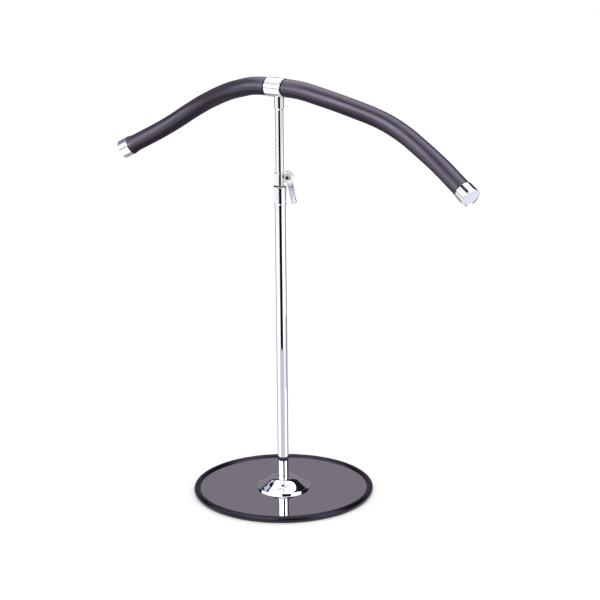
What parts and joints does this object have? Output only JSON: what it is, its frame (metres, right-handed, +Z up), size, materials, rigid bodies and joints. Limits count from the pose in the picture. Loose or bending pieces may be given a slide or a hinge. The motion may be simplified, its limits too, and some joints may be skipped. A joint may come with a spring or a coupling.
{
  "type": "valet stand",
  "caption": "Table-top garment valet stand: round weighted base, chrome telescopic post with a clear cam clamp, and a pair of foam-padded shoulder arms with plated end caps.",
  "frame": {"origin": "centre of the base's footprint, on the table", "axes": "+Z up along the post, +X along the padded arms, -Y towards the front, where the arms' ends curve forward again"},
  "size_m": [0.5068, 0.21, 0.485],
  "materials": {
    "mirror_plate": "mirror polished",
    "chrome": "bright plated",
    "black_rubber": "satin",
    "black_foam": "fine closed-cell foam",
    "clear_plastic": "clear, polished",
    "steel": "turned",
    "brass": "satin",
    "nylon": "natural nylon"
  },
  "bodies": {
    "stand": {"base_plate": "mirror_plate", "edge_trim": "black_rubber", "base_screw": "steel", "foot_plug": "steel", "flange_cover": "chrome", "outer_tube": "chrome", "tube_liner": "nylon", "clamp_body": "clear_plastic", "lever_pin": "steel", "cam_washers": "brass"},
    "lever": {"cam_lever": "clear_plastic"},
    "slider": {"rod_guide": "nylon"},
    "head": {"inner_rod": "chrome", "rod_nut": "steel", "head_stud": "steel", "head_socket": "chrome", "head_sleeve": "chrome", "arm_bar": "steel", "left_grip": "black_foam", "right_grip": "black_foam", "left_cap": "chrome", "right_cap": "chrome"}
  },
  "joints": [
    {"name": "height_slide", "type": "slide", "parent": "stand", "child": "slider", "axis": [0, 0, 1], "range_m": [-0.068, 0.15]},
    {"name": "head_swivel", "type": "hinge", "parent": "slider", "child": "head", "pos_m": [0, 0, 0.45], "axis": [0, 0, 1], "continuous": true},
    {"name": "lever_pivot", "type": "hinge", "parent": "stand", "child": "lever", "pos_m": [0.00722, 0.00451, 0.37362], "axis": [0.5299, -0.848, 0], "range_deg": [0, 95]}
  ]
}
